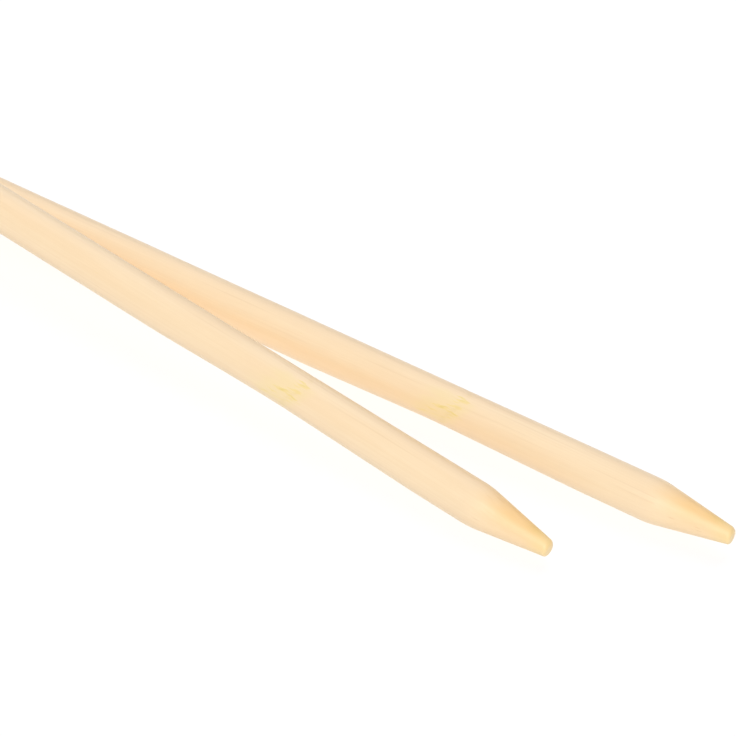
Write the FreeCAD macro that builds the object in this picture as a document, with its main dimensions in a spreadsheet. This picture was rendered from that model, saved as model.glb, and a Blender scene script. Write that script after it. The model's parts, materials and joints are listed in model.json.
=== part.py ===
"""A pair of straight, single-pointed bamboo knitting needles, one laid across the other.

Each needle is two glued pieces: a turned bamboo shaft and a turned wooden knob. Sizes are in millimetres.
A needle is drawn lying on its own X axis, with the middle of its tip face at the origin and its point
towards +X, so a place along it is minus the distance from the tip. The placements at the end then lay both
needles on the plane Z = 0, +X towards the points and +Z up, with the origin under the middle of the pair.
"""

import FreeCAD, Part
import Sketcher
import math
import os

# Every driving size, with the meaning that its cell shows beside it.
SIZES = [
    ("needle_length", 350.0, "tip face to the end of the knob"),
    ("shank_diameter", 10.0, "the needle's nominal size, on the full round shank"),
    ("taper_length", 18.3, "tip face to the shoulder, before the shoulder is blended"),
    ("tip_diameter", 3.7, "the blunt tip's face, before its edge is rounded"),
    ("tip_edge_radius", 0.9, "rounding of the tip's edge"),
    ("shoulder_radius", 22.0, "blend between the taper and the shank"),
    ("node_from_tip", 73.0, "tip face to the middle of the sanded bamboo node"),
    ("node_length", 44.0, "length of the shallow waist that sanding leaves at the node"),
    ("node_depth", 0.3, "depth of that waist"),
    ("tenon_diameter", 7.0, "round tenon that the knob is glued on"),
    ("tenon_length", 9.6, "length of that tenon"),
    ("tenon_chamfer", 0.5, "lead-in on the tenon's end"),
    ("glue_gap", 0.1, "radial room for glue around the tenon"),
    ("bore_end_gap", 0.4, "room past the tenon's end in the knob's bore"),
    ("knob_length", 16.0, "length of the knob along the needle"),
    ("knob_diameter", 18.0, "the knob at its crest"),
    ("knob_neck_diameter", 12.6, "the knob's collar, where it meets the shank"),
    ("knob_neck_length", 2.4, "length of that collar"),
    ("knob_flat_diameter", 9.0, "the flat on the knob's end, before its edge is rounded"),
    ("knob_edge_radius", 1.2, "rounding of the edge of that flat"),
    ("knob_collar_chamfer", 0.4, "bevel on the collar's front edge"),
    ("crossing_from_tip_1", 278.0, "needle 1's tip to the crossing"),
    ("crossing_from_tip_2", 248.6, "needle 2's tip to the crossing"),
    ("crossing_angle", 5.38, "angle between the needles seen from above, in degrees"),
    ("lay_clearance", 0.3, "gap left between the two shanks where they cross"),
]

doc = FreeCAD.newDocument("straight_needles")
sheet = doc.addObject("Spreadsheet::Sheet", "sizes")
for row, (alias, value, meaning) in enumerate(SIZES, start=1):
    sheet.set(f"A{row}", alias)
    sheet.set(f"B{row}", str(value))
    sheet.set(f"C{row}", meaning)
    sheet.setAlias(f"B{row}", alias)
doc.recompute()


def size(alias):
    """A driving size as the sheet holds it."""
    return float(sheet.get(alias))


def new_sketch(body, name):
    """A sketch on the body's own XZ plane: its horizontal axis runs along the needle."""
    sketch = body.newObject("Sketcher::SketchObject", name)
    plane = next(f for f in body.Origin.OriginFeatures if f.Role == "XZ_Plane")
    sketch.AttachmentSupport = [(plane, "")]
    sketch.MapMode = "FlatFace"
    return sketch


def point(x, y):
    return FreeCAD.Vector(x, y, 0)


def add_chain(sketch, points):
    """A closed chain of lines through the points, each line ending where the next starts."""
    count = len(points)
    for i in range(count):
        sketch.addGeometry(Part.LineSegment(points[i], points[(i + 1) % count]), False)
    for i in range(count):
        sketch.addConstraint(Sketcher.Constraint("Coincident", i, 2, (i + 1) % count, 1))


def bind(sketch, name, constraint, expression):
    """Adds a dimension to the sketch and ties it to the sheet."""
    index = sketch.addConstraint(constraint)
    sketch.renameConstraint(index, name)
    sketch.setExpression(f"Constraints.{name}", expression)


def place_end(sketch, name, line, end, along, out):
    """Ties a line's end, as drawn, to its distance back from the tip and out from the axis."""
    drawn = sketch.getPoint(line, end)
    if along:
        back = Sketcher.Constraint("DistanceX", line, end, -1, 1, -drawn.x)
        bind(sketch, f"{name}_along", back, along)
    if out:
        radial = Sketcher.Constraint("DistanceY", -1, 1, line, end, drawn.y)
        bind(sketch, f"{name}_out", radial, out)


def turn(body, sketch, name, kind):
    """Revolves a sketch about the needle's axis, as added or removed material."""
    feature = body.newObject(kind, name)
    feature.Profile = sketch
    feature.ReferenceAxis = (sketch, ["H_Axis"])
    feature.Angle = 360
    doc.recompute()
    return feature


def ring(feature, from_tip, radius):
    """The name of the feature's circular edge at this place along the needle."""
    for index, edge in enumerate(feature.Shape.Edges, start=1):
        curve = edge.Curve
        if curve.TypeId != "Part::GeomCircle":
            continue
        if abs(curve.Center.x + from_tip) < 1e-4 and abs(curve.Radius - radius) < 1e-4:
            return f"Edge{index}"
    raise RuntimeError(f"no ring of radius {radius} at {from_tip} from the tip")


def dress(body, kind, name, base, from_tip, radius, prop, expression):
    """Rounds or bevels one ring edge of the base feature."""
    feature = body.newObject(kind, name)
    feature.Base = (base, [ring(base, from_tip, radius)])
    feature.setExpression(prop, expression)
    doc.recompute()
    return feature


def add_shaft(node):
    """The bamboo stick: blunt tip, taper, round shank with a sanded node, and the tenon."""
    body = doc.addObject("PartDesign::Body", node)
    body.Label = node
    shank_end = size("needle_length") - size("knob_length")
    tenon_end = shank_end + size("tenon_length")
    shank_r = size("shank_diameter") / 2
    tenon_r = size("tenon_diameter") / 2
    tip_r = size("tip_diameter") / 2

    profile = new_sketch(body, f"{node}_profile")
    corners = [
        point(0, 0),
        point(0, tip_r),
        point(-size("taper_length"), shank_r),
        point(-shank_end, shank_r),
        point(-shank_end, tenon_r),
        point(-tenon_end, tenon_r),
        point(-tenon_end, 0),
    ]
    add_chain(profile, corners)
    tip_face, taper, shank, step, tenon, tenon_face, axis = range(len(corners))
    profile.addConstraint(Sketcher.Constraint("Coincident", tip_face, 1, -1, 1))
    for line in (tip_face, step, tenon_face):
        profile.addConstraint(Sketcher.Constraint("Vertical", line))
    for line in (shank, tenon, axis):
        profile.addConstraint(Sketcher.Constraint("Horizontal", line))
    place_end(profile, "tip", tip_face, 2, None, "sizes.tip_diameter / 2")
    place_end(profile, "shoulder", taper, 2, "sizes.taper_length", "sizes.shank_diameter / 2")
    place_end(profile, "shank_end", shank, 2, "sizes.needle_length - sizes.knob_length", None)
    place_end(
        profile,
        "tenon",
        tenon,
        2,
        "sizes.needle_length - sizes.knob_length + sizes.tenon_length",
        "sizes.tenon_diameter / 2",
    )
    stick = turn(body, profile, f"{node}_stick", "PartDesign::Revolution")
    blended = dress(
        body,
        "PartDesign::Fillet",
        f"{node}_shoulder",
        stick,
        size("taper_length"),
        shank_r,
        "Radius",
        "sizes.shoulder_radius",
    )
    rounded = dress(
        body,
        "PartDesign::Fillet",
        f"{node}_tip_edge",
        blended,
        0,
        tip_r,
        "Radius",
        "sizes.tip_edge_radius",
    )
    dress(
        body,
        "PartDesign::Chamfer",
        f"{node}_tenon_lead",
        rounded,
        tenon_end,
        tenon_r,
        "Size",
        "sizes.tenon_chamfer",
    )
    add_node_waist(body, node)
    return body


def add_node_waist(body, node):
    """A long shallow arc turned off the shank where the bamboo's node was sanded down."""
    shank_r = size("shank_diameter") / 2
    half = size("node_length") / 2
    depth = size("node_depth")
    front = size("node_from_tip") - half
    back = size("node_from_tip") + half
    radius = (half**2 + depth**2) / (2 * depth)
    centre = point(-size("node_from_tip"), shank_r - depth + radius)
    outside = shank_r + depth
    spread = math.asin(half / radius)

    waist = new_sketch(body, f"{node}_waist_profile")
    waist.addGeometry(
        Part.ArcOfCircle(
            Part.Circle(centre, FreeCAD.Vector(0, 0, 1), radius),
            -math.pi / 2 - spread,
            -math.pi / 2 + spread,
        ),
        False,
    )
    arc, front_side, lid, back_side = range(4)
    sides = [
        (point(-front, shank_r), point(-front, outside)),
        (point(-front, outside), point(-back, outside)),
        (point(-back, outside), point(-back, shank_r)),
    ]
    for start, end in sides:
        waist.addGeometry(Part.LineSegment(start, end), False)
    for line, next_line in ((arc, front_side), (front_side, lid), (lid, back_side), (back_side, arc)):
        waist.addConstraint(Sketcher.Constraint("Coincident", line, 2, next_line, 1))
    waist.addConstraint(Sketcher.Constraint("Vertical", front_side))
    waist.addConstraint(Sketcher.Constraint("Horizontal", lid))
    waist.addConstraint(Sketcher.Constraint("Vertical", back_side))
    place_end(
        waist,
        "front",
        front_side,
        1,
        "sizes.node_from_tip - sizes.node_length / 2",
        "sizes.shank_diameter / 2",
    )
    place_end(waist, "lid", lid, 1, None, "sizes.shank_diameter / 2 + sizes.node_depth")
    place_end(
        waist,
        "back",
        back_side,
        2,
        "sizes.node_from_tip + sizes.node_length / 2",
        "sizes.shank_diameter / 2",
    )
    bind(
        waist,
        "waist_radius",
        Sketcher.Constraint("Radius", arc, radius),
        "((sizes.node_length / 2) ^ 2 + sizes.node_depth ^ 2) / (2 * sizes.node_depth)",
    )
    turn(body, waist, f"{node}_waist", "PartDesign::Groove")


def crest_from_tip():
    """The knob's widest place, midway between its collar and its end."""
    crown_length = size("knob_length") - size("knob_neck_length")
    return size("needle_length") - crown_length / 2


def crown_radius(rim_diameter):
    """The arc from the crest, where it is level, to a rim of this diameter at either end of the crown."""
    reach = (size("knob_length") - size("knob_neck_length")) / 2
    drop = (size("knob_diameter") - rim_diameter) / 2
    return (reach**2 + drop**2) / (2 * drop)


def crown_arc(rim_diameter, side):
    """One half of the crown, side 1 towards the tip and -1 towards the end, drawn anticlockwise."""
    radius = crown_radius(rim_diameter)
    reach = (size("knob_length") - size("knob_neck_length")) / 2
    centre = point(-crest_from_tip(), size("knob_diameter") / 2 - radius)
    lean = math.asin(reach / radius)
    circle = Part.Circle(centre, FreeCAD.Vector(0, 0, 1), radius)
    if side > 0:
        return Part.ArcOfCircle(circle, math.pi / 2 - lean, math.pi / 2)
    return Part.ArcOfCircle(circle, math.pi / 2, math.pi / 2 + lean)


def add_knob(node):
    """The turned knob: a collar against the shank, a round crown, a flat end, and a blind bore."""
    body = doc.addObject("PartDesign::Body", node)
    body.Label = node
    front = size("needle_length") - size("knob_length")
    collar_end = front + size("knob_neck_length")
    bore_end = front + size("tenon_length") + size("bore_end_gap")
    end = size("needle_length")
    neck_r = size("knob_neck_diameter") / 2
    flat_r = size("knob_flat_diameter") / 2
    bore_r = size("tenon_diameter") / 2 + size("glue_gap")

    profile = new_sketch(body, f"{node}_profile")
    outline = [
        Part.LineSegment(point(-front, bore_r), point(-front, neck_r)),
        Part.LineSegment(point(-front, neck_r), point(-collar_end, neck_r)),
        crown_arc(2 * neck_r, 1),
        crown_arc(2 * flat_r, -1),
        Part.LineSegment(point(-end, flat_r), point(-end, 0)),
        Part.LineSegment(point(-end, 0), point(-bore_end, 0)),
        Part.LineSegment(point(-bore_end, 0), point(-bore_end, bore_r)),
        Part.LineSegment(point(-bore_end, bore_r), point(-front, bore_r)),
    ]
    for piece in outline:
        profile.addGeometry(piece, False)
    face, collar, front_arc, back_arc, flat, axis, bore_face, bore = range(len(outline))
    for line, next_line in (
        (face, collar),
        (collar, front_arc),
        (front_arc, back_arc),
        (back_arc, flat),
        (flat, axis),
        (axis, bore_face),
        (bore_face, bore),
        (bore, face),
    ):
        profile.addConstraint(Sketcher.Constraint("Coincident", line, 2, next_line, 1))
    for line in (face, flat, bore_face):
        profile.addConstraint(Sketcher.Constraint("Vertical", line))
    for line in (collar, axis, bore):
        profile.addConstraint(Sketcher.Constraint("Horizontal", line))
    for arc, crest_end in ((front_arc, 2), (back_arc, 1)):
        profile.addConstraint(Sketcher.Constraint("Vertical", arc, 3, arc, crest_end))
    profile.addConstraint(Sketcher.Constraint("PointOnObject", axis, 1, -1))
    face_place = "sizes.needle_length - sizes.knob_length"
    place_end(profile, "face", face, 2, face_place, "sizes.knob_neck_diameter / 2")
    place_end(profile, "collar", collar, 2, f"{face_place} + sizes.knob_neck_length", None)
    place_end(
        profile,
        "crest",
        front_arc,
        2,
        "sizes.needle_length - (sizes.knob_length - sizes.knob_neck_length) / 2",
        "sizes.knob_diameter / 2",
    )
    place_end(profile, "flat", flat, 1, "sizes.needle_length", "sizes.knob_flat_diameter / 2")
    place_end(
        profile,
        "bore",
        bore_face,
        2,
        f"{face_place} + sizes.tenon_length + sizes.bore_end_gap",
        "sizes.tenon_diameter / 2 + sizes.glue_gap",
    )
    bead = turn(body, profile, f"{node}_bead", "PartDesign::Revolution")
    rounded = dress(
        body,
        "PartDesign::Fillet",
        f"{node}_end_edge",
        bead,
        end,
        flat_r,
        "Radius",
        "sizes.knob_edge_radius",
    )
    dress(
        body,
        "PartDesign::Chamfer",
        f"{node}_collar_bevel",
        rounded,
        front,
        neck_r,
        "Size",
        "sizes.knob_collar_chamfer",
    )
    return body


def shoulder_blend_from_tip():
    """Where the shoulder's blend runs out into the shank."""
    rise = (size("shank_diameter") - size("tip_diameter")) / 2
    slope = math.atan(rise / size("taper_length"))
    return size("taper_length") + size("shoulder_radius") * math.tan(slope / 2)


def tip_height(tilt):
    """The height of the tip's middle above the floor when the shoulder's blend rests on it."""
    shank_r = size("shank_diameter") / 2
    blend = size("shoulder_radius")
    drop = shoulder_blend_from_tip() * math.sin(tilt)
    return blend + (shank_r - blend) * math.cos(tilt) - drop


def flat_lay_tilt():
    """The downward tilt of a needle that rests on its shoulder and on its knob's front arc.

    Each contact is an arc of revolution whose centre lies in the axial plane, so that the two heights are
    equal when reach * sin(tilt) + lift * cos(tilt) = difference of the two arcs' radii.
    """
    knob_arc = crown_radius(size("knob_neck_diameter"))
    blend = size("shoulder_radius")
    reach = crest_from_tip() - shoulder_blend_from_tip()
    lift = (size("shank_diameter") / 2 - blend) - (size("knob_diameter") / 2 - knob_arc)
    return math.asin((knob_arc - blend) / math.hypot(reach, lift)) - math.atan2(lift, reach)


def direction(tilt, swing):
    """A needle's direction from knob to tip, tilted down and swung clockwise seen from above."""
    level = math.cos(tilt)
    return FreeCAD.Vector(
        level * math.cos(swing),
        -level * math.sin(swing),
        -math.sin(tilt),
    )


def lay_needles():
    """Both needles' tilts and the crossing's two axis points, over a crossing at X = Y = 0."""
    tilt_1 = flat_lay_tilt()
    swing = math.radians(size("crossing_angle"))
    apart = size("shank_diameter") + size("lay_clearance")
    low = tip_height(tilt_1) + size("crossing_from_tip_1") * math.sin(tilt_1)
    tilt_2 = tilt_1
    for _ in range(60):
        normal = direction(tilt_1, 0).cross(direction(tilt_2, swing))
        high = low + apart * normal.Length / abs(normal.z)
        rise = high - tip_height(tilt_2)
        tilt_2 = math.asin(rise / size("crossing_from_tip_2"))
    return tilt_1, tilt_2, swing, low, high


def placement(tip, tilt, swing):
    """Puts a needle's tip at a point, with its own X axis along direction(tilt, swing)."""
    tilted = FreeCAD.Rotation(FreeCAD.Vector(0, 1, 0), math.degrees(tilt))
    swung = FreeCAD.Rotation(FreeCAD.Vector(0, 0, -1), math.degrees(swing))
    return FreeCAD.Placement(tip, swung.multiply(tilted))


needle_1 = [add_shaft("needle_1_shaft"), add_knob("needle_1_knob")]
needle_2 = [add_shaft("needle_2_shaft"), add_knob("needle_2_knob")]
parts = needle_1 + needle_2

tilt_1, tilt_2, swing, low, high = lay_needles()
crossing_1 = FreeCAD.Vector(0, 0, low)
crossing_2 = FreeCAD.Vector(0, 0, high)
tip_1 = crossing_1 + direction(tilt_1, 0) * size("crossing_from_tip_1")
tip_2 = crossing_2 + direction(tilt_2, swing) * size("crossing_from_tip_2")
for piece in needle_1:
    piece.Placement = placement(tip_1, tilt_1, 0)
for piece in needle_2:
    piece.Placement = placement(tip_2, tilt_2, swing)
doc.recompute()

# The origin goes under the middle of the pair's box.
box = Part.makeCompound([piece.Shape for piece in parts]).optimalBoundingBox(False)
shift = FreeCAD.Vector(-box.Center.x, -box.Center.y, -box.ZMin)
for piece in parts:
    piece.Placement = FreeCAD.Placement(piece.Placement.Base + shift, piece.Placement.Rotation)
doc.recompute()

for item in doc.Objects:
    if "Invalid" in item.State or "Error" in item.State:
        raise RuntimeError(f"{item.Label} failed: {item.State}")
for piece in parts:
    if piece.Shape.isNull() or not piece.Shape.isValid() or len(piece.Shape.Solids) != 1:
        raise RuntimeError(f"{piece.Label} has no sound solid")

os.makedirs("parts", exist_ok=True)
for piece in parts:
    piece.Shape.exportStep(f"parts/{piece.Label}.step")
    print(f"{piece.Label}: {piece.Shape.Volume:.1f} mm3")

print(f"box: {box.XLength:.2f} x {box.YLength:.2f} x {box.ZLength:.2f}, floor shift {shift.z:.4f}")
print(f"tilts: {math.degrees(tilt_1):.4f} and {math.degrees(tilt_2):.4f} degrees")
for number, tip, tilt, swung in ((1, tip_1, tilt_1, 0), (2, tip_2, tilt_2, swing)):
    way = direction(tilt, swung)
    front_wall = (shoulder_blend_from_tip(), size("node_from_tip") - size("node_length") / 2)
    middle = tip + shift - way * sum(front_wall) * 0.5
    end = tip + shift - way * size("needle_length")
    print(f"needle {number}: tip {tuple(tip + shift)}, direction {tuple(way)}")
    print(f"  front wall {front_wall[0]:.3f} to {front_wall[1]:.3f}, middle {tuple(middle)}")
    print(f"  knob end {tuple(end)}")
print(f"crossing on needle 1: {tuple(crossing_1 + shift)}, on needle 2: {tuple(crossing_2 + shift)}")
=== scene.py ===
"""The looks of a pair of straight bamboo knitting needles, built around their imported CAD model.

Each needle is a turned bamboo shaft and a turned wooden knob. Both are lathe work, so each piece is an
outline turned about its needle's axis. The shaft then gets what handwork leaves: a tip that was rounded more
on one side, a hollow sanded at the bamboo's node, and a slightly uneven finish. An outline's points are
(distance from the tip, distance from the axis). Lengths are in millimetres until a mesh is placed.
"""

import json
import math

import bpy
import numpy as np
from mathutils import Matrix, Vector


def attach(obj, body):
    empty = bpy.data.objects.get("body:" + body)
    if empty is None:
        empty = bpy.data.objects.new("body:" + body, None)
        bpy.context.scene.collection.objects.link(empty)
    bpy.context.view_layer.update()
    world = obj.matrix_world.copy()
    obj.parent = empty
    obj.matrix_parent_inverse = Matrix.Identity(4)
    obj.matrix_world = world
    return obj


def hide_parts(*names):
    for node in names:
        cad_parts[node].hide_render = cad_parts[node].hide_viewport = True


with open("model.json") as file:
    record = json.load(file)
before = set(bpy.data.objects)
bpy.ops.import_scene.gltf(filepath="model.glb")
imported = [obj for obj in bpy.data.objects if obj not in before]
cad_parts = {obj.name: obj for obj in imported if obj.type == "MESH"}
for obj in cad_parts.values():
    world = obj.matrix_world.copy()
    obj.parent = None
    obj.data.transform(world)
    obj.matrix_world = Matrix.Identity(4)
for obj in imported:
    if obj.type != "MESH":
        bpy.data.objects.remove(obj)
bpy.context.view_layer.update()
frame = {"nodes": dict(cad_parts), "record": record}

MM = 0.001
SEGMENTS = 128
SHARP_EDGE = math.radians(35)

# The shaft's outline.
TIP_DIAMETER = 3.7
TAPER_LENGTH = 18.3
SHOULDER_RADIUS = 22.0
TENON_DIAMETER = 7.0
TENON_LENGTH = 9.6
TENON_CHAMFER = 0.5
STEP_ROUNDING = 0.25

# The tip's edge is rounded most where the outer side of the bamboo was, and least on the opposite side.
OUTER_SIDE = math.radians(41)
TIP_EDGE_RADIUS = 1.05
TIP_EDGE_VARIATION = 0.35

# The hollow that was sanded into the inner side at the bamboo's node.
INNER_SIDE = OUTER_SIDE + math.pi
NODE_FROM_TIP = 73.0
HOLLOW_FRONT = 35.0
HOLLOW_BACK = 106.0
HOLLOW_DEPTH = 0.62
HOLLOW_BLUNTNESS = 0.16

# The node's own line goes round the shank as a slow wave: (waves in a turn, height, phase in degrees).
NODE_LINE_FROM_TIP = 68.0
NODE_LINE_WIDTH = 0.9
NODE_LINE_DEPTH = 0.03
NODE_WAVES = ((1, 1.5, 200), (2, 0.7, 75), (3, 0.35, 310))
# Rings lie closer together over this much of the shank each side of the node.
NODE_FINE_REACH = 6.0
# The node's marks are strongest where a bud grew, this far round from the top.
BUD_SIDE = math.radians(-52)

# Hand finishing leaves this many swells on a shaft, each this far in and out.
SWELLS = 7
SWELL_HEIGHT = 0.004

# The knob's outline.
COLLAR_DIAMETER = 12.6
COLLAR_LENGTH = 2.4
COLLAR_BEVEL = 0.4
FLAT_DIAMETER = 9.0
FLAT_ROUNDING = 1.2
GLUE_GAP = 0.1
BORE_END_GAP = 0.4
CENTRE_MARK_DIAMETER = 1.1
CENTRE_MARK_DEPTH = 0.35

# Colours, the spacing of the knob's growth rings, and each material's relief, which is in metres.
BAMBOO_GROUND = (0.83, 0.645, 0.418, 1)
BAMBOO_GROUND_DEEPER = (0.82, 0.622, 0.392, 1)
BAMBOO_FIBRE = (0.79, 0.59, 0.36, 1)
BAMBOO_BUNDLE = (0.56, 0.35, 0.16, 1)
BAMBOO_TAPER = (0.82, 0.52, 0.2, 1)
BAMBOO_RUBBED = (0.74, 0.5, 0.14, 1)
BAMBOO_TIP = (0.8, 0.6, 0.275, 1)
NODE_STAIN = (0.8, 0.64, 0.33, 1)
NODE_YELLOW = (0.79, 0.61, 0.25, 1)
NODE_FLECK = (0.72, 0.56, 0.19, 1)
NODE_THREAD = (0.66, 0.47, 0.18, 1)
BAMBOO_RELIEF = 0.00002
WOOD_GROUND = (0.7, 0.45, 0.235, 1)
WOOD_GROUND_DEEPER = (0.6, 0.37, 0.18, 1)
WOOD_LATE_RING = (0.46, 0.25, 0.11, 1)
WOOD_RAY = (0.36, 0.19, 0.09, 1)
WOOD_RING_SPACING = 1.7
WOOD_RELIEF = 0.000015
FLOOR_DARKER = (0.38, 0.385, 0.39, 1)
FLOOR_LIGHTER = (0.4, 0.4, 0.4, 1)

# Camera and stage.
VIEW_AZIMUTH = -32.91
VIEW_ELEVATION = 43.92
VIEW_DISTANCE = 0.6181
VIEW_BEHIND_TIP = 0.0923
VIEW_ACROSS = 0.0011
LENS = 135.0
SENSOR = 36.0
NEAREST_SEEN = 0.01
FLOOR_SIZE = 12.0
SKY_AT_HORIZON = 0.5
SKY_OVERHEAD = 0.3
FLOOR_GLOW = 0.58
# Each sun's name, azimuth, elevation, strength and softness, and if it casts shadows. Angles are in degrees.
SUNS = (
    ("key_light", -33, 62, 1.4, 45, False),
    ("front_light", -33, 33, 1.14, 50, False),
    ("back_light", 147, 45, 0.95, 60, True),
)


class Needle:
    """One needle as the CAD places it: its axes in the row frame, and the sizes that the frame gives."""

    def __init__(self, number):
        self.body = f"needle_{number}"
        self.number = number
        mounts = {mount["name"]: mount for mount in frame["record"]["mounts"]}
        shank = mounts[f"{self.body}_front_shank"]
        self.end = Vector(mounts[f"{self.body}_knob_end"]["pos_m"])
        self.along = Vector(shank["axis"]).normalized()
        self.across = Vector((0, 0, 1)).cross(self.along).normalized()
        self.up = self.along.cross(self.across)
        self.shank_radius = shank["dims"]["r_mm"]
        reach, _ = self.measure(f"{self.body}_shaft")
        self.length = reach.max()
        self.tip = self.end + self.along * self.length * MM
        reach, out = self.measure(f"{self.body}_knob")
        self.knob_front = self.length - reach.max()
        self.knob_radius = out.max()

    def measure(self, node):
        """How far each vertex of a CAD node is in front of the knob's end, and how far from the axis."""
        places = np.array([v.co for v in frame["nodes"][node].data.vertices]) - np.array(self.end)
        reach = places @ np.array(self.along)
        out = np.linalg.norm(places - np.outer(reach, self.along), axis=1)
        return reach / MM, out / MM

    def axes(self):
        return Matrix((self.along, self.across, self.up)).transposed()

    def place(self, from_tip, out, angle):
        """Row-frame points, in metres, of places given round this needle's axis."""
        local = np.stack([-from_tip, out * np.cos(angle), out * np.sin(angle)], axis=-1)
        return np.array(self.tip) + local @ np.array(self.axes()).T * MM


# Outlines.


def line(start, end, step):
    """Evenly spaced points from start towards end, without end itself."""
    count = max(1, math.ceil(math.dist(start, end) / step))
    share = np.arange(count)[:, None] / count
    return np.array(start) * (1 - share) + np.array(end) * share


def arc(centre, radius, start, end, count):
    """Points on a circle, at angles measured from straight out, positive towards the knob."""
    angles = np.linspace(start, end, count, endpoint=False)
    return np.array(centre) + radius * np.stack([np.sin(angles), np.cos(angles)], axis=1)


def taper_slope(needle):
    return math.atan((needle.shank_radius - TIP_DIAMETER / 2) / TAPER_LENGTH)


def blend_end(needle):
    return TAPER_LENGTH + SHOULDER_RADIUS * math.tan(taper_slope(needle) / 2)


def shank_outline(needle):
    """From the front of the shoulder's blend to the middle of the tenon's end."""
    radius, front = needle.shank_radius, needle.knob_front
    tenon_radius, tenon_end = TENON_DIAMETER / 2, front + TENON_LENGTH
    fine_start, fine_end = NODE_FROM_TIP - NODE_FINE_REACH, NODE_FROM_TIP + NODE_FINE_REACH
    blend_centre = (blend_end(needle), radius - SHOULDER_RADIUS)
    step_centre = (front - STEP_ROUNDING, radius - STEP_ROUNDING)
    return np.concatenate(
        [
            arc(blend_centre, SHOULDER_RADIUS, -taper_slope(needle), 0, 24),
            line((blend_end(needle), radius), (fine_start, radius), 0.8),
            line((fine_start, radius), (fine_end, radius), 0.2),
            line((fine_end, radius), (front - STEP_ROUNDING, radius), 1.2),
            arc(step_centre, STEP_ROUNDING, 0, math.pi / 2, 6),
            line((front, radius - STEP_ROUNDING), (front, tenon_radius), 0.4),
            line((front, tenon_radius), (tenon_end - TENON_CHAMFER, tenon_radius), 0.8),
            line((tenon_end - TENON_CHAMFER, tenon_radius), (tenon_end, tenon_radius - TENON_CHAMFER), 0.2),
            line((tenon_end, tenon_radius - TENON_CHAMFER), (tenon_end, 0), 0.5),
        ]
    )


def knob_outline(needle):
    """From the middle of the bore's end, out round the crown, to the middle of the flat end."""
    front, end = needle.knob_front, needle.length
    bore_radius, bore_end = TENON_DIAMETER / 2 + GLUE_GAP, front + TENON_LENGTH + BORE_END_GAP
    collar_radius, collar_end = COLLAR_DIAMETER / 2, front + COLLAR_LENGTH
    half = (end - collar_end) / 2
    crest = collar_end + half

    def crown(rim_radius):
        drop = needle.knob_radius - rim_radius
        return (half**2 + drop**2) / (2 * drop)

    front_radius, back_radius = crown(collar_radius), crown(FLAT_DIAMETER / 2)
    front_centre = (crest, needle.knob_radius - front_radius)
    back_centre = (crest, needle.knob_radius - back_radius)
    rounding_from_tip = end - FLAT_ROUNDING
    sine = (rounding_from_tip - crest) / (back_radius - FLAT_ROUNDING)
    rounding_out = back_centre[1] + (back_radius - FLAT_ROUNDING) * math.sqrt(1 - sine**2)
    mark_radius = CENTRE_MARK_DIAMETER / 2
    return np.concatenate(
        [
            line((bore_end, 0), (bore_end, bore_radius), 0.6),
            line((bore_end, bore_radius), (front, bore_radius), 0.8),
            line((front, bore_radius), (front, collar_radius - COLLAR_BEVEL), 0.5),
            line((front, collar_radius - COLLAR_BEVEL), (front + COLLAR_BEVEL, collar_radius), 0.1),
            line((front + COLLAR_BEVEL, collar_radius), (collar_end, collar_radius), 0.2),
            arc(front_centre, front_radius, -math.asin(half / front_radius), 0, 56),
            arc(back_centre, back_radius, 0, math.asin(sine), 56),
            arc((rounding_from_tip, rounding_out), FLAT_ROUNDING, math.asin(sine), math.pi / 2, 14),
            line((end, rounding_out), (end, mark_radius), 0.1),
            line((end, mark_radius), (end - CENTRE_MARK_DEPTH, 0), 0.08),
        ]
    )


# Meshes.


def turned_piece(name, needle, from_tip, out):
    """A closed mesh from grids of places, a row for each ring. The first and last rings are single points."""
    angle = ring_angles()
    rings = needle.place(from_tip, out, angle)
    rows = len(rings)
    corners = rings[1:-1].reshape(-1, 3)
    vertices = np.concatenate([corners, rings[0][:1], rings[-1][:1]])
    first, last = len(corners), len(corners) + 1
    faces = []
    for j in range(SEGMENTS):
        k = (j + 1) % SEGMENTS
        faces.append((first, j, k))
        for row in range(rows - 3):
            a, b = row * SEGMENTS, (row + 1) * SEGMENTS
            faces.append((a + j, b + j, b + k, a + k))
        tail = (rows - 3) * SEGMENTS
        faces.append((tail + j, last, tail + k))
    mesh = bpy.data.meshes.new(name)
    mesh.from_pydata(vertices.tolist(), [], faces)
    mesh.shade_smooth()
    mesh.set_sharp_from_angle(angle=SHARP_EDGE)
    piece = bpy.data.objects.new(name, mesh)
    bpy.context.scene.collection.objects.link(piece)
    return piece


def ring_angles():
    return np.arange(SEGMENTS) * 2 * math.pi / SEGMENTS


def tip_rings(needle):
    """The blunt tip and the taper. Its edge's rounding changes round the tip, so these rings aren't flat."""
    angle = ring_angles()
    slope = taper_slope(needle)
    turn = math.pi / 2 - slope
    edge = TIP_EDGE_RADIUS + TIP_EDGE_VARIATION * np.cos(angle - OUTER_SIDE)
    centre_out = TIP_DIAMETER / 2 - edge * math.tan(turn / 2)
    blend_start = blend_end(needle) - SHOULDER_RADIUS * math.sin(slope)
    from_tip, out = [], []
    for share in np.linspace(0, 1, 7, endpoint=False):
        from_tip.append(0 * angle)
        out.append(centre_out * share)
    for lean in np.linspace(0, turn, 16, endpoint=False):
        from_tip.append(edge * (1 - math.cos(lean)))
        out.append(centre_out + edge * math.sin(lean))
    start = edge * (1 - math.cos(turn))
    for share in np.linspace(0, 1, 64, endpoint=False):
        place = start * (1 - share) + blend_start * share
        from_tip.append(place)
        out.append(TIP_DIAMETER / 2 + place * math.tan(slope))
    return np.array(from_tip), np.array(out)


def node_line(angle):
    """How far from the tip the node's line is, at each angle round the shank."""
    waves = sum(high * np.sin(many * angle + math.radians(phase)) for many, high, phase in NODE_WAVES)
    return NODE_LINE_FROM_TIP + waves


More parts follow.
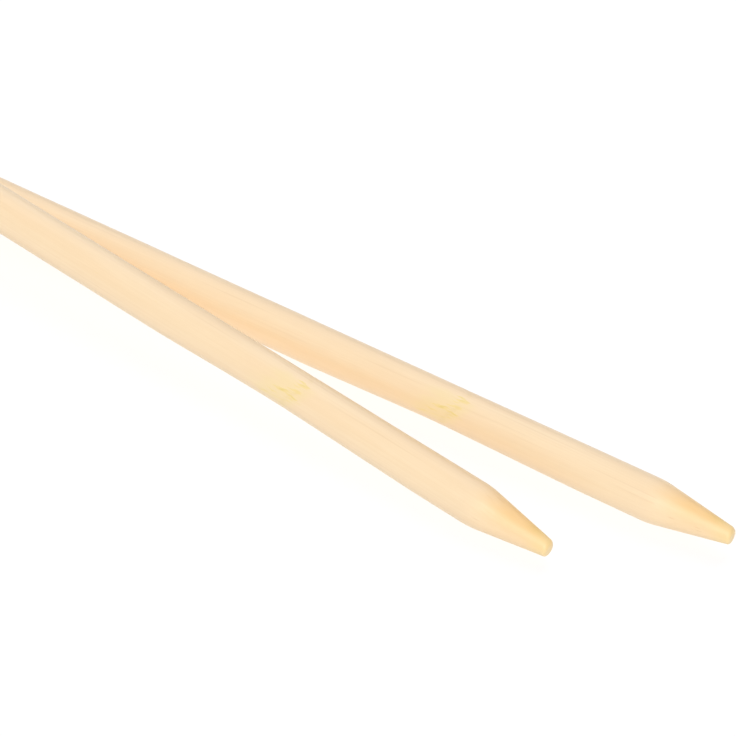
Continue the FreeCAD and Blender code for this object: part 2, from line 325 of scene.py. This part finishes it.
def hollow(from_tip, angle):
    """Depth of the hollow sanded under the node, deepest at the node and straight towards both ends."""
    reach = np.where(from_tip < NODE_FROM_TIP, NODE_FROM_TIP - HOLLOW_FRONT, HOLLOW_BACK - NODE_FROM_TIP)
    away = (from_tip - NODE_FROM_TIP) / reach
    blunt = np.hypot(away, HOLLOW_BLUNTNESS) - HOLLOW_BLUNTNESS
    full = math.hypot(1, HOLLOW_BLUNTNESS) - HOLLOW_BLUNTNESS
    share = np.clip(1 - blunt / full, 0, 1)
    return HOLLOW_DEPTH * share * np.clip(np.cos(angle - INNER_SIDE), 0, 1) ** 2


def unevenness(from_tip, angle, rng):
    """Hand finishing: slow shallow swells along and round the stick, never proud of the outline."""
    swell = 0
    for _ in range(SWELLS):
        around, length, phase = rng.integers(1, 7), rng.uniform(14, 60), rng.uniform(0, 2 * math.pi)
        swell = swell + np.sin(around * angle + 2 * math.pi * from_tip / length + phase)
    return SWELL_HEIGHT * (SWELLS - swell)


def make_shaft(needle):
    front_from_tip, front_out = tip_rings(needle)
    outline = shank_outline(needle)
    ring = np.ones(SEGMENTS)
    tail_end = needle.knob_front + TENON_LENGTH
    from_tip = np.concatenate([front_from_tip, np.outer(outline[:, 0], ring), [ring * tail_end]])
    out = np.concatenate([front_out, np.outer(outline[:, 1], ring), [ring * 0]])
    angle = ring_angles()[None, :]
    rng = np.random.default_rng(needle.number)
    worked = np.clip(out / needle.shank_radius, 0, 1) * (from_tip < needle.knob_front - 1)
    groove = np.exp(-(((from_tip - node_line(angle)) / (NODE_LINE_WIDTH / 2)) ** 2))
    cut = hollow(from_tip, angle) + unevenness(from_tip, angle, rng) + NODE_LINE_DEPTH * groove
    return turned_piece(f"{needle.body}_bamboo_shaft", needle, from_tip, out - cut * worked)


def make_knob(needle):
    outline = np.concatenate([knob_outline(needle), [(needle.length - CENTRE_MARK_DEPTH, 0)]])
    ring = np.ones(SEGMENTS)
    from_tip, out = np.outer(outline[:, 0], ring), np.outer(outline[:, 1], ring)
    return turned_piece(f"{needle.body}_turned_knob", needle, from_tip, out)


# Materials.


class Shader:
    """Adds nodes to a new material, linking an input that is given a socket and setting any other."""

    def __init__(self, name):
        self.material = bpy.data.materials.new(name)
        self.material.use_nodes = True
        self.tree = self.material.node_tree
        self.tree.nodes.clear()

    def node(self, kind, inputs, **settings):
        made = self.tree.nodes.new(f"ShaderNode{kind}")
        for name, value in settings.items():
            setattr(made, name, value)
        for socket, value in inputs.items():
            if isinstance(value, bpy.types.NodeSocket):
                self.tree.links.new(value, made.inputs[socket])
            else:
                made.inputs[socket].default_value = value
        return made

    def math(self, operation, *values):
        return self.node("Math", dict(enumerate(values)), operation=operation).outputs[0]

    def ramp(self, value, low, high, to_low=0.0, to_high=1.0):
        """A smooth step from to_low to to_high while value goes from low to high."""
        inputs = {"Value": value, 1: low, 2: high, 3: to_low, 4: to_high}
        return self.node("MapRange", inputs, interpolation_type="SMOOTHSTEP").outputs[0]

    def mix(self, factor, first, second, blend="MIX"):
        inputs = {0: factor, 6: first, 7: second}
        return self.node("Mix", inputs, data_type="RGBA", blend_type=blend).outputs[2]

    def scaled(self, vector, scale, location=(0, 0, 0)):
        inputs = {"Vector": vector, "Scale": scale, "Location": location}
        return self.node("Mapping", inputs).outputs[0]

    def noise(self, vector, scale, detail=2.0, roughness=0.5):
        inputs = {"Vector": vector, "Scale": scale, "Detail": detail, "Roughness": roughness}
        return self.node("TexNoise", inputs)

    def needle_space(self, needle):
        """Millimetres on the needle's own axes, from the middle of its tip face, X towards the tip."""
        row = self.node("TexCoord", {}).outputs["Object"]
        turn = needle.axes().to_euler("XYZ")
        inputs = {"Vector": row, "Location": needle.tip, "Rotation": turn, "Scale": (MM, MM, MM)}
        return self.node("Mapping", inputs, vector_type="TEXTURE").outputs[0]

    def split(self, vector):
        return self.node("SeparateXYZ", {0: vector}).outputs

    def finish(self, colour, roughness, height, depth, **constants):
        """The surface. Height is from 0 to 1, and depth is what 1 stands for, in metres."""
        bump = self.node("Bump", {"Height": height, "Strength": 1.0, "Distance": depth})
        inputs = {"Base Color": colour, "Roughness": roughness, "Normal": bump.outputs[0]}
        inputs.update({name.replace("_", " "): value for name, value in constants.items()})
        surface = self.node("BsdfPrincipled", inputs)
        self.node("OutputMaterial", {"Surface": surface.outputs[0]})
        return self.material


def bamboo(needle):
    """Split bamboo: pale ground, darker bundles of fibres along the stick, and a node across it."""
    s = Shader(f"bamboo_{needle.number}")
    seed = needle.number * 37.0
    place = s.needle_space(needle)
    x, y, z = s.split(place)
    outer_y = s.math("MULTIPLY", y, math.cos(OUTER_SIDE) / needle.shank_radius)
    outer_z = s.math("MULTIPLY", z, math.sin(OUTER_SIDE) / needle.shank_radius)
    outward = s.math("ADD", outer_y, outer_z)

    # The grain wanders slowly on its way along the stick.
    drift = s.noise(s.scaled(place, (0.02, 0.04, 0.04), (seed, 0, 0)), 1.0)
    wander = s.scaled(drift.outputs["Color"], (0, 1.6, 1.6))
    grain = s.node("VectorMath", {0: place, 1: wander}, operation="ADD").outputs[0]

    tone = s.noise(s.scaled(grain, (0.03, 0.22, 0.22), (seed, 3, 0)), 1.0, 2.0).outputs[0]
    ground = s.mix(s.ramp(tone, 0.35, 0.65), BAMBOO_GROUND, BAMBOO_GROUND_DEEPER)
    fine = s.noise(s.scaled(grain, (0.03, 3.2, 3.2), (seed, 0, 9)), 1.0, 3.0, 0.6).outputs[0]
    fibred = s.mix(s.ramp(fine, 0.3, 0.7, 0.0, 0.5), ground, BAMBOO_FIBRE)

    # Bundles are thin rods along the grain, thicker and closer to each other on the outer side.
    rods = s.scaled(grain, (0.014, 1.05, 1.05), (seed, 5, 5))
    distance = s.node("TexVoronoi", {"Vector": rods, "Scale": 1.0, "Randomness": 0.9}).outputs["Distance"]
    width = s.ramp(outward, -1.0, 1.0, 0.14, 0.22)
    bundle = s.ramp(s.math("SUBTRACT", distance, width), -0.09, 0.06, 1.0, 0.0)
    taper = s.ramp(x, -TAPER_LENGTH - 3, -TAPER_LENGTH + 9)
    strength = s.math("MULTIPLY_ADD", taper, 0.24, 0.13)
    veined = s.mix(s.math("MULTIPLY", bundle, strength), fibred, BAMBOO_BUNDLE)

    # The taper cuts across the fibres, so it is warmer, most of all on its outer side. It is rubbed darker
    # just behind the tip, and the tip itself is yellower.
    warm = s.math("MULTIPLY", taper, s.ramp(outward, -0.5, 0.45, 0.22, 0.82))
    tapered = s.mix(warm, veined, BAMBOO_TAPER)
    worn = s.math("MULTIPLY", s.ramp(x, -8.0, -3.5), s.ramp(x, -3.0, -1.8, 0.6, 0.0))
    rubbed = s.mix(s.math("MULTIPLY", worn, s.ramp(outward, 0.1, 0.5)), tapered, BAMBOO_RUBBED)
    tip = s.ramp(x, -6.0, -0.5, 0.0, 0.7)
    tipped = s.mix(tip, rubbed, BAMBOO_TIP)

    # The node is painted on the shank's surface as if unrolled, with the seam underneath.
    turn = s.math("ARCTAN2", y, z)
    angle = s.math("SUBTRACT", math.pi / 2, turn)
    line_from_tip = NODE_LINE_FROM_TIP
    for many, high, phase in NODE_WAVES:
        swing = s.math("SINE", s.math("MULTIPLY_ADD", angle, many, math.radians(phase)))
        line_from_tip = s.math("MULTIPLY_ADD", swing, high, line_from_tip)
    ahead = s.math("ADD", x, line_from_tip)
    away = s.math("ABSOLUTE", ahead)
    round_way = s.math("MULTIPLY", turn, needle.shank_radius)
    unrolled = s.node("CombineXYZ", {0: x, 1: round_way}).outputs[0]
    ripple = s.scaled(s.noise(place, 0.35).outputs["Color"], (1.4, 1.4, 0.0), (-0.7, -0.7, 0.0))
    rippled = s.node("VectorMath", {0: unrolled, 1: ripple}, operation="ADD").outputs[0]

    # A yellow stain behind the line, and the dark ends of fibres close to it.
    from_bud = s.math("ABSOLUTE", s.math("SUBTRACT", turn, BUD_SIDE))
    bud = s.ramp(from_bud, 0.35, 1.3, 1.0, 0.35)
    patches = s.noise(s.scaled(rippled, (0.09, 0.26, 1.0), (1.7, 0.4, 0.0)), 1.0, 2.0).outputs[0]
    band = s.math("MULTIPLY", s.ramp(ahead, -13.0, -5.0), s.ramp(ahead, 1.0, 4.0, 1.0, 0.0))
    stain = s.math("MULTIPLY", band, s.ramp(s.math("MULTIPLY", patches, bud), 0.3, 0.5))
    stained = s.mix(s.math("MULTIPLY", stain, 0.5), tipped, NODE_STAIN)
    streaks = s.noise(s.scaled(rippled, (0.22, 1.5, 1.0), (0.0, 2.2, 0.0)), 1.0, 1.0, 0.4).outputs[0]
    near = s.math("MULTIPLY", s.ramp(ahead, -10.0, -1.0), s.ramp(ahead, 0.5, 3.5, 1.0, 0.0))
    streak = s.math("MULTIPLY_ADD", s.math("MULTIPLY", near, bud), 0.3, streaks)
    yellowed = s.mix(s.ramp(streak, 0.76, 0.88, 0.0, 0.75), stained, NODE_YELLOW)
    flecked = s.mix(s.ramp(streak, 0.88, 1.0, 0.0, 0.8), yellowed, NODE_FLECK)
    thread = s.math("MULTIPLY", s.ramp(away, 0.2, 0.9, 1.0, 0.0), s.ramp(patches, 0.45, 0.6))
    lined = s.mix(s.math("MULTIPLY", thread, 0.12), flecked, NODE_THREAD)

    rough = s.ramp(fine, 0.3, 0.7, 0.4, 0.5)
    height = s.math("MULTIPLY_ADD", bundle, -0.5, fine)
    return s.finish(lined, rough, height, BAMBOO_RELIEF, Coat_Weight=0.4, Coat_Roughness=0.4)


def turned_wood(needle):
    """A close-grained light hardwood, its growth rings cut by the round of the knob."""
    s = Shader(f"knob_wood_{needle.number}")
    seed = needle.number * 11.0
    place = s.needle_space(needle)
    bent = s.noise(s.scaled(place, (0.05, 0.12, 0.12), (seed, 0, 0)), 1.0, 2.0)
    shift = s.scaled(bent.outputs["Color"], (0, 4.0, 4.0), (0, 15, -11))
    grain = s.node("VectorMath", {0: place, 1: shift}, operation="ADD").outputs[0]
    _, y, z = s.split(grain)
    from_pith = s.math("SQRT", s.math("ADD", s.math("MULTIPLY", y, y), s.math("MULTIPLY", z, z)))
    ring = s.math("FRACT", s.math("DIVIDE", from_pith, WOOD_RING_SPACING))
    late = s.math("MULTIPLY", s.ramp(ring, 0.45, 0.95), s.ramp(ring, 0.97, 1.0, 1.0, 0.0))
    fine = s.noise(s.scaled(place, (0.12, 4.0, 4.0), (seed, 1, 0)), 1.0, 3.0, 0.6).outputs[0]
    ground = s.mix(s.ramp(fine, 0.3, 0.7), WOOD_GROUND, WOOD_GROUND_DEEPER)
    ringed = s.mix(s.math("MULTIPLY", late, 0.45), ground, WOOD_LATE_RING)
    specks = s.node("TexVoronoi", {"Vector": s.scaled(place, (0.35, 2.4, 2.4)), "Scale": 1.0})
    ray = s.ramp(specks.outputs["Distance"], 0.1, 0.2, 1.0, 0.0)
    rayed = s.mix(s.math("MULTIPLY", ray, 0.35), ringed, WOOD_RAY)
    height = s.math("MULTIPLY_ADD", ray, -0.6, fine)
    rough = s.ramp(fine, 0.3, 0.7, 0.3, 0.4)
    return s.finish(rayed, rough, height, WOOD_RELIEF, Coat_Weight=0.25)


def floor_material():
    """A plain matt floor that also glows a little, which keeps it near white round the needles."""
    s = Shader("pale_floor")
    place = s.node("TexCoord", {}).outputs["Object"]
    mottle = s.noise(s.scaled(place, (9, 9, 9)), 1.0, 3.0).outputs[0]
    colour = s.mix(mottle, FLOOR_DARKER, FLOOR_LIGHTER)
    inputs = {"Base Color": colour, "Roughness": 0.9, "Specular IOR Level": 0.0}
    inputs.update({"Emission Color": (1, 1, 1, 1), "Emission Strength": FLOOR_GLOW})
    surface = s.node("BsdfPrincipled", inputs)
    s.node("OutputMaterial", {"Surface": surface.outputs[0]})
    return s.material


# Stage, light and camera.


def make_floor():
    half = FLOOR_SIZE / 2
    mesh = bpy.data.meshes.new("floor")
    corners = [(-half, -half, 0), (half, -half, 0), (half, half, 0), (-half, half, 0)]
    mesh.from_pydata(corners, [], [(0, 1, 2, 3)])
    mesh.materials.append(floor_material())
    floor = bpy.data.objects.new("floor", mesh)
    bpy.context.scene.collection.objects.link(floor)


def make_sun(name, azimuth, elevation, strength, softness, shadow):
    """A broad, even light, standing where azimuth and elevation say, as the camera's do."""
    data = bpy.data.lights.new(name, "SUN")
    data.energy = strength
    data.angle = math.radians(softness)
    data.use_shadow = shadow
    sun = bpy.data.objects.new(name, data)
    sun.rotation_mode = "QUATERNION"
    sun.rotation_quaternion = looking(azimuth, elevation).to_track_quat("-Z", "Y")
    bpy.context.scene.collection.objects.link(sun)


def looking(azimuth, elevation):
    """The direction of a level or downward look. Azimuth 0 looks along +Y, and 90 along +X."""
    turn, drop = math.radians(azimuth), math.radians(elevation)
    return Vector(
        (math.sin(turn) * math.cos(drop), math.cos(turn) * math.cos(drop), -math.sin(drop))
    )


def make_world():
    """A pale sky, somewhat stronger at the horizon than overhead."""
    world = bpy.data.worlds.new("studio")
    world.use_nodes = True
    tree = world.node_tree
    background = tree.nodes["Background"]
    background.inputs["Color"].default_value = (0.97, 0.96, 1.0, 1)
    direction = tree.nodes.new("ShaderNodeTexCoord")
    split = tree.nodes.new("ShaderNodeSeparateXYZ")
    fade = tree.nodes.new("ShaderNodeMapRange")
    for socket, value in ((1, 0.0), (2, 1.0), (3, SKY_AT_HORIZON), (4, SKY_OVERHEAD)):
        fade.inputs[socket].default_value = value
    tree.links.new(direction.outputs["Generated"], split.inputs[0])
    tree.links.new(split.outputs["Z"], fade.inputs[0])
    tree.links.new(fade.outputs[0], background.inputs["Strength"])
    bpy.context.scene.world = world


def make_camera(needle):
    data = bpy.data.cameras.new("camera")
    data.lens = LENS
    data.sensor_width = SENSOR
    data.clip_start = NEAREST_SEEN
    camera = bpy.data.objects.new("camera", data)
    forward = looking(VIEW_AZIMUTH, VIEW_ELEVATION)
    aim = Vector(
        (needle.tip.x - VIEW_BEHIND_TIP, needle.tip.y + VIEW_ACROSS, needle.shank_radius * MM)
    )
    camera.location = aim - forward * VIEW_DISTANCE
    camera.rotation_mode = "QUATERNION"
    camera.rotation_quaternion = forward.to_track_quat("-Z", "Y")
    bpy.context.scene.collection.objects.link(camera)
    bpy.context.scene.camera = camera


needles = [Needle(1), Needle(2)]
make_camera(needles[0])
make_floor()
make_world()
for sun in SUNS:
    make_sun(*sun)
bpy.context.scene.view_settings.view_transform = "Standard"

for needle in needles:
    shaft = make_shaft(needle)
    shaft.data.materials.append(bamboo(needle))
    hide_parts(f"{needle.body}_shaft")
    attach(shaft, needle.body)
    knob = make_knob(needle)
    knob.data.materials.append(turned_wood(needle))
    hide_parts(f"{needle.body}_knob")
    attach(knob, needle.body)
